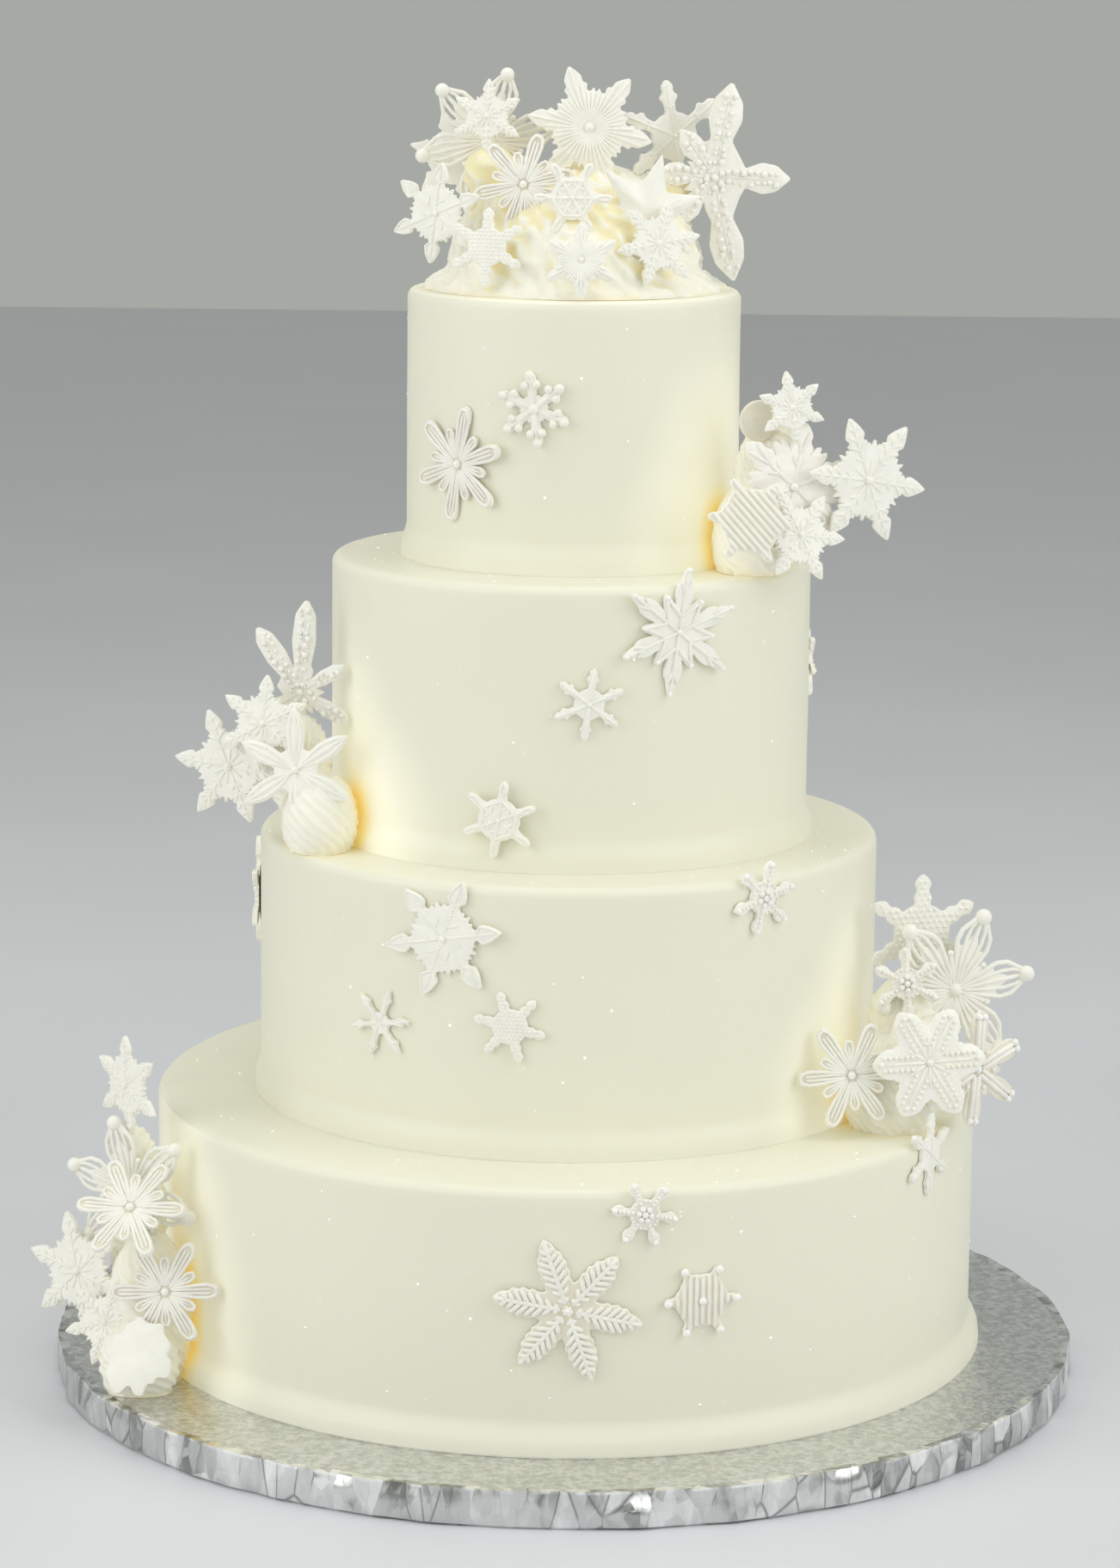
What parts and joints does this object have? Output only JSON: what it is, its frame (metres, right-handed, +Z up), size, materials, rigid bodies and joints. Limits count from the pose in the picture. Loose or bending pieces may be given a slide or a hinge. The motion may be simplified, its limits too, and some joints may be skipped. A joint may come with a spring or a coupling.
{
  "type": "tiered wedding cake",
  "caption": "Round tiered cake in smooth ivory icing with white icing snowflakes on its walls and in heaps on its ledges, standing on a foil-covered drum board.",
  "frame": {"origin": "centre of the board's underside", "axes": "+Z up along the cake's axis, -Y towards the front that the picture shows, +X to the picture's right"},
  "size_m": [0.513, 0.506, 0.6422],
  "materials": {
    "ivory_icing": "smooth satin icing",
    "white_icing": "hard white icing, partly pearly",
    "foil": "embossed silver foil"
  },
  "bodies": {
    "root": {"board": "foil", "board_lace": "white_icing", "board_loops": "white_icing", "board_rosette": "white_icing", "board_side": "white_icing", "board_thin": "white_icing", "lower_dots": "white_icing", "lower_lace": "white_icing", "lower_lines": "white_icing", "lower_loops": "white_icing", "lower_pearls": "white_icing", "lower_petals": "white_icing", "middle_long": "white_icing", "middle_side": "white_icing", "middle_star": "white_icing", "middle_upper": "white_icing", "mound_board": "ivory_icing", "mound_lower": "ivory_icing", "mound_middle": "ivory_icing", "mound_top": "ivory_icing", "mound_upper": "ivory_icing", "tier_1": "ivory_icing", "tier_2": "ivory_icing", "tier_3": "ivory_icing", "tier_4": "ivory_icing", "top_arrows": "white_icing", "top_back_left": "white_icing", "top_back_right": "white_icing", "top_dots": "white_icing", "top_front": "white_icing", "top_lace": "white_icing", "top_leaf": "white_icing", "top_lines": "white_icing", "top_loops": "white_icing", "top_plate": "white_icing", "top_rays": "white_icing", "top_sprig": "white_icing", "top_star": "white_icing", "upper_leaf": "white_icing", "upper_plate": "white_icing", "upper_side": "white_icing", "upper_stripes": "white_icing", "upper_top": "white_icing", "wall1_chevron": "white_icing", "wall1_pearls": "white_icing", "wall1_side": "white_icing", "wall1_stripes": "white_icing", "wall2_arrows": "white_icing", "wall2_dots": "white_icing", "wall2_pearls": "white_icing", "wall2_side": "white_icing", "wall2_thin": "white_icing", "wall3_back": "white_icing", "wall3_hexagon": "white_icing", "wall3_lines": "white_icing", "wall3_side": "white_icing", "wall3_simple": "white_icing", "wall4_loops": "white_icing", "wall4_sprig": "white_icing"}
  },
  "joints": []
}
